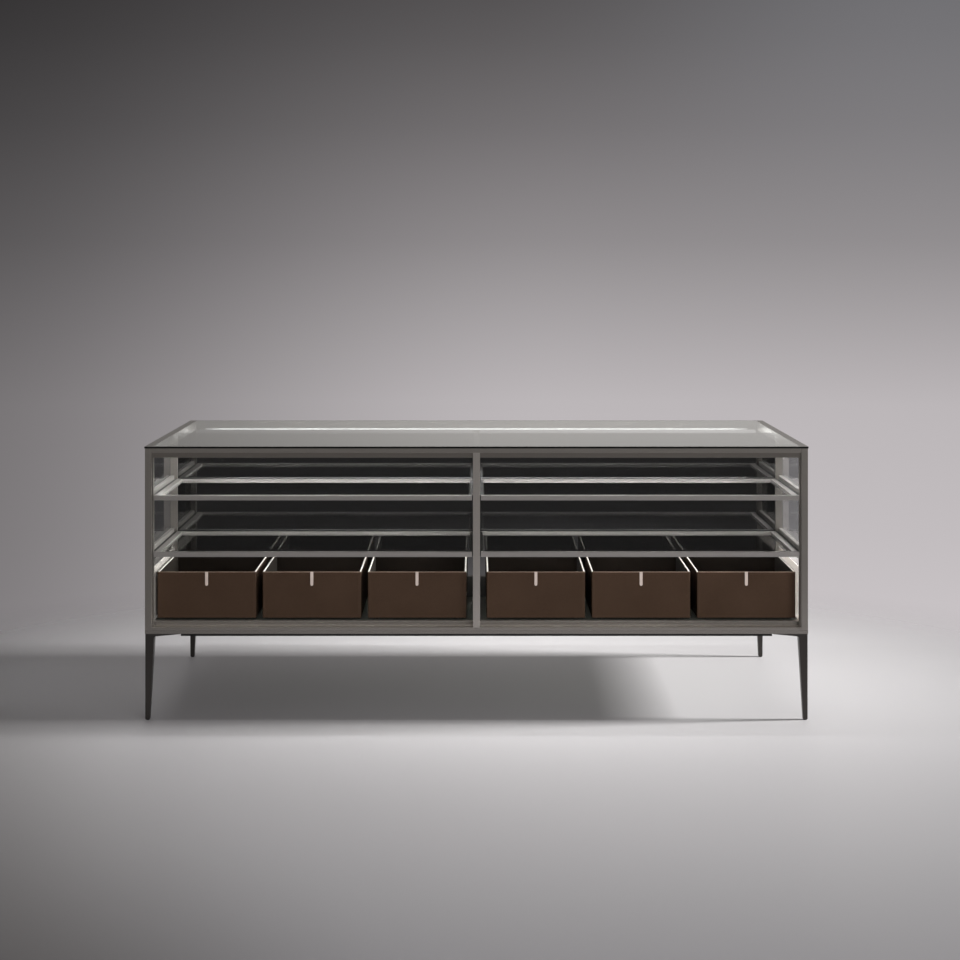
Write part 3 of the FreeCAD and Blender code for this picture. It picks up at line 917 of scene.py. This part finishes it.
def make_box_masters(node_low, high):
    """A shell, its tab and its skids where the first box is, each with the ending of its names."""
    low = Vector((node_low.x, node_low.y + TAB_SIZE.y, node_low.z + SKID_HEIGHT))
    shell = make_box_shell(low, high)
    map_walls(shell, low, high)
    half = (high - low) / 2
    front_leather = box_leather("box_leather_front", half.x, half.z)
    side_leather = box_leather("box_leather_side", half.y, half.z)
    for material in (front_leather, side_leather, lining, rim_paint, side_rim_highlight):
        shell.data.materials.append(material)
    paint_box(shell, low, high)
    tab = make_tab(low, high)
    tab.data.materials.append(tab_calf)
    skids = make_skids(low, high, node_low.z)
    skids.data.materials.append(box_skid_felt)
    return ((shell, "_shell"), (tab, "_tab"), (skids, "_skids"))


def place_box(masters, node, to_place):
    """One box of the row: a copy of each master, moved to the box's place."""
    for part, ending in masters:
        piece = bpy.data.objects.new(node + ending, part.data.copy())
        bpy.context.scene.collection.objects.link(piece)
        piece.data.transform(to_place)
        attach(piece, node)
        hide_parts(node)


def make_boxes():
    """Both rows of boxes. Those of the rear row are turned about."""
    first_low, first_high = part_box("box_1_front")
    first_middle = (first_low + first_high) / 2
    centre = Matrix.Translation(first_middle)
    about = centre @ Matrix.Rotation(math.pi, 4, "Z") @ centre.inverted()
    masters = make_box_masters(first_low, first_high)
    for end in ENDS:
        for number in range(1, BOXES_IN_ROW + 1):
            node = "box_%d_%s" % (number, end)
            low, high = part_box(node)
            to_place = Matrix.Translation((low + high) / 2 - first_middle)
            place_box(masters, node, to_place @ about if end == "rear" else to_place)
    for part, _ in masters:
        bpy.data.objects.remove(part)


# Pads and screws

def make_pads():
    """A round pad under each leg, as one piece."""
    low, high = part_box("foot_pads")
    centre = Vector((low.x + PAD_RADIUS, low.y + PAD_RADIUS, 0))
    pad = add_rod("pad", PAD_RADIUS, (centre.x, centre.y, low.z), (centre.x, centre.y, high.z))
    soften(pad, PAD_CHAMFER, 2, 40)
    span = (-2 * centre.x, -2 * centre.y)
    others = [copied(pad, (span[0] * i, span[1] * j, 0)) for i, j in ((1, 0), (0, 1), (1, 1))]
    pads = joined([pad] + others, "foot_pads_rubber")
    finish_piece(pads, ["foot_pads"], [rubber_black])


def make_screws():
    """Socket screws, two in each leg: a head with a sunk socket, and a shank drawn up from it."""
    low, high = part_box("leg_screws")
    neck = low.z + SCREW_HEAD_HEIGHT
    screw = add_rod("screw", SCREW_HEAD_RADIUS, (0, 0, low.z), (0, 0, neck), 24)
    shape(screw)
    pick(screw, "FACE", lambda face: face.normal.z > FACING)
    bpy.ops.mesh.inset(thickness=SCREW_HEAD_RADIUS - SCREW_SHANK_RADIUS)
    bpy.ops.mesh.extrude_region_move(TRANSFORM_OT_translate={"value": (0, 0, high.z - neck)})
    pick(screw, "FACE", lambda face: face.normal.z < -FACING)
    bpy.ops.mesh.inset(thickness=SCREW_HEAD_RADIUS - SCREW_SOCKET_RADIUS)
    bpy.ops.mesh.extrude_region_move(TRANSFORM_OT_translate={"value": (0, 0, SCREW_SOCKET_DEPTH)})
    close()
    soften(screw, SCREW_ARRIS, 2, 40)
    reach = Vector((abs(low.x) - SCREW_HEAD_RADIUS, abs(low.y) - SCREW_HEAD_RADIUS, 0))
    spots = [(LEG_FACES[0] - SCREW_PLACE, reach.y), (reach.x, LEG_FACES[1] - SCREW_PLACE)]
    set_of = [copied(screw, (i * x, j * y, 0)) for x, y in spots for i in (1, -1) for j in (1, -1)]
    bpy.data.objects.remove(screw)
    screws = joined(set_of, "leg_screws_set")
    finish_piece(screws, ["leg_screws"], [screw_black])


# Studio

# The floor, and the painted pool of light that its tone deepens away from, into painted shade
FLOOR_CENTRE = (0.0, -0.9, 0.0)
FLOOR_RADIUS = 2.9
FLOOR_SOLID = 1.9
LIGHT_POOL_CENTRE = (0.1, 0.35, 0.0)
LIGHT_POOL_SHAPE = (1.15, 1.0, 1.0)
LIGHT_POOL_EDGES = (-0.19, 3.23)
NEAR_LEFT_SHADE_EDGES = (-2.0, -1.1)

# The backdrop: the light that comes back from the room, and the place of the horizon on its ramps
AIR_LEVEL = 0.14
HORIZON = 0.5

# Lamps, in metres and watts
KEY_PLACE = (8.5, 0.0, 4.3)
KEY_TARGET = (0.0, 0.0, 0.4)
KEY_SIZE = (1.1, 1.8)
KEY_POWER = 1330
KEY_COLOUR = (1.0, 0.99, 0.975)
FILL_PLACE = (2.8, -6.4, 0.58)
FILL_TARGET = (0.0, 0.0, 0.5)
FILL_SIZE = (4.0, 0.7)
FILL_POWER = 370
STRIP_LAMP_WIDTH = 0.006
STRIP_LAMP_POWER = 3.5
STRIP_END_POWER = 1.6
STRIP_CLEAR = 0.004

CAMERA_PLACE = (0.0, -5.37, 1.393)
CAMERA_LENS = 61.8
CAMERA_SHIFT = (0.0037, -0.231)


def make_studio():
    """A round pale floor with a painted pool of light: its tone deepens to painted shade away from the pool
    and at the near left, and it fades out into the backdrop.
    """
    bpy.ops.object.select_all(action="DESELECT")
    bpy.ops.mesh.primitive_circle_add(
        vertices=96, radius=FLOOR_RADIUS, fill_type="NGON", location=FLOOR_CENTRE)
    floor = new_piece("studio_floor")
    material, finish = new_finish("studio_floor_pale")
    place = finish.node("TexCoord", out="Object")
    cloud = finish.noise(place, 0.9, 3.0)
    away = finish.node("VectorMath", {"operation": "DISTANCE"}, (place, FLOOR_CENTRE), out="Value")
    from_light_pool = finish.node("VectorMath", {"operation": "DISTANCE"},
                            (finish.stretched(place, LIGHT_POOL_SHAPE), LIGHT_POOL_CENTRE), out="Value")
    sideways = finish.node("SeparateXYZ", inputs=(place,), out=0)
    backwards = finish.node("SeparateXYZ", inputs=(place,), out=1)
    # Painted shade: darker away from the pool of light, and darker still at the near left
    near_left_shade = finish.eased(sideways + backwards * 0.5, *NEAR_LEFT_SHADE_EDGES)
    deep = finish.blend(near_left_shade, (0.070, 0.066, 0.067, 1.0), (0.190, 0.186, 0.196, 1.0))
    pale = finish.blend(cloud, (0.81, 0.795, 0.81, 1.0), (0.87, 0.855, 0.87, 1.0))
    shader = finish.node("BsdfPrincipled", inputs={
        "Base Color": finish.blend(finish.eased(from_light_pool, *LIGHT_POOL_EDGES), pale, deep),
        "Roughness": 0.5,
        "Specular IOR Level": 0.3,
        "Alpha": 1 - finish.eased(away, FLOOR_SOLID, FLOOR_RADIUS),
    })
    surface(finish, shader)
    floor.data.materials.append(material)


def make_world():
    """A backdrop that darkens upwards and to the left, and what the room gives back to metal and glass.

    Panes show what lies ahead by a tone of their own. What lies behind is dark in mirrors, but for a band
    at the height that the frame's own faces mirror.
    """
    world = bpy.data.worlds.new("studio_air")
    bpy.context.scene.world = world
    world.use_nodes = True
    finish = Finish(world.node_tree)
    way = finish.node("TexCoord", out="Generated")
    sideways = finish.node("SeparateXYZ", inputs=(way,), out=0)
    forward = finish.node("SeparateXYZ", inputs=(way,), out=1)
    rise = finish.node("SeparateXYZ", inputs=(way,), out=2) + HORIZON
    backdrop = finish.node("ValToRGB", {"stops": [
        (0.27, grey(0.60)), (0.34, grey(0.54)), (0.414, grey(0.50)), (0.511, grey(0.275)),
        (0.58, grey(0.17)), (0.631, grey(0.115)), (0.70, grey(0.06)),
    ]}, {"Fac": rise})
    lit_side = finish.node("ValToRGB", {"stops": [
        (0.27, warm_grey(0.55)), (0.42, warm_grey(0.50)), (0.60, warm_grey(0.62)), (1.00, warm_grey(0.60)),
    ]}, {"Fac": rise})
    dark_side = finish.node("ValToRGB", {"stops": [
        (0.20, warm_grey(0.34)), (0.30, warm_grey(0.04)), (0.40, warm_grey(0.04)), (0.44, warm_grey(0.42)),
        (0.54, warm_grey(0.42)), (0.58, warm_grey(0.04)), (0.74, warm_grey(0.06)), (1.00, warm_grey(0.55)),
    ]}, {"Fac": rise})
    shade = finish.eased(sideways, -0.33, 0.06) * 0.65 + 0.35
    high_right = finish.eased(sideways, 0.0, 0.27) * finish.eased(rise, 0.45, 0.66)
    backdrop = finish.blend(shade, grey(0.0), backdrop)
    backdrop = finish.blend(high_right * 0.13, backdrop, (0.62, 0.64, 0.70, 1.0))
    lit_side = finish.blend(shade, grey(0.0), lit_side)
    mirrored = finish.blend(finish.eased(forward, -0.4, 0.5), dark_side, lit_side)
    seen = finish.node("LightPath", out="Is Camera Ray")
    through = finish.node("LightPath", out="Is Transmission Ray")
    glint = finish.node("LightPath", out="Is Glossy Ray")
    pane_tone = finish.eased(sideways, -0.15, 0.15) * 0.95 + 0.45
    beyond = finish.node("VectorMath", {"operation": "SCALE"}, {"Vector": backdrop, "Scale": pane_tone})
    air = finish.blend(glint.math("MAXIMUM", glint, through), grey(AIR_LEVEL), mirrored)
    air = finish.blend(through * (forward > 0.0), air, beyond)
    shown = finish.blend(seen, air, backdrop)
    shader = finish.node("Background", inputs={"Color": shown, "Strength": 1.0})
    finish.node("OutputWorld", inputs={"Surface": shader})


def add_lamp(name, place, target, size, power, colour=(1.0, 1.0, 1.0)):
    """A flat lamp turned to a target. Neither the camera nor a pane shows it."""
    data = bpy.data.lights.new(name, "AREA")
    data.shape = "RECTANGLE"
    data.size, data.size_y = size
    data.energy = power
    data.color = colour
    lamp = bpy.data.objects.new(name, data)
    bpy.context.scene.collection.objects.link(lamp)
    lamp.location = place
    lamp.rotation_euler = (Vector(target) - Vector(place)).to_track_quat("-Z", "Y").to_euler()
    lamp.visible_camera = False
    lamp.visible_transmission = False
    return lamp


def make_lamps():
    """A key from the right, a low fill from the front that nothing mirrors, and the strips' light."""
    add_lamp("key_lamp", KEY_PLACE, KEY_TARGET, KEY_SIZE, KEY_POWER, KEY_COLOUR)
    fill = add_lamp("front_fill", FILL_PLACE, FILL_TARGET, FILL_SIZE, FILL_POWER)
    fill.visible_glossy = False
    low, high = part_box("light_strips")
    along_size, across_size = (2 * high.x, STRIP_LAMP_WIDTH), (STRIP_LAMP_WIDTH, 2 * high.y)
    for side in (-1, 1):
        start = Vector((0.0, side * (high.y - STRIP_CLEAR), low.z - STRIP_CLEAR))
        add_lamp("strip_lamp", start, start + Vector((0, -side, -1)), along_size, STRIP_LAMP_POWER)
        start = Vector((side * (high.x - STRIP_CLEAR), 0.0, low.z - STRIP_CLEAR))
        add_lamp("strip_end_lamp", start, start + Vector((side * 0.6, 0, -1)), across_size, STRIP_END_POWER)


def make_camera():
    """A level camera at standing height, its view shifted down to the island."""
    data = bpy.data.cameras.new("studio_camera")
    data.lens = CAMERA_LENS
    data.sensor_width = 36.0
    data.shift_x, data.shift_y = CAMERA_SHIFT
    camera = bpy.data.objects.new("studio_camera", data)
    bpy.context.scene.collection.objects.link(camera)
    camera.location = CAMERA_PLACE
    camera.rotation_euler = (math.pi / 2, 0.0, 0.0)
    bpy.context.scene.camera = camera


make_frame()
make_panels()
make_trays()
make_boxes()
make_pads()
make_screws()
make_studio()
make_world()
make_lamps()
make_camera()
bpy.context.scene.view_settings.view_transform = "Standard"
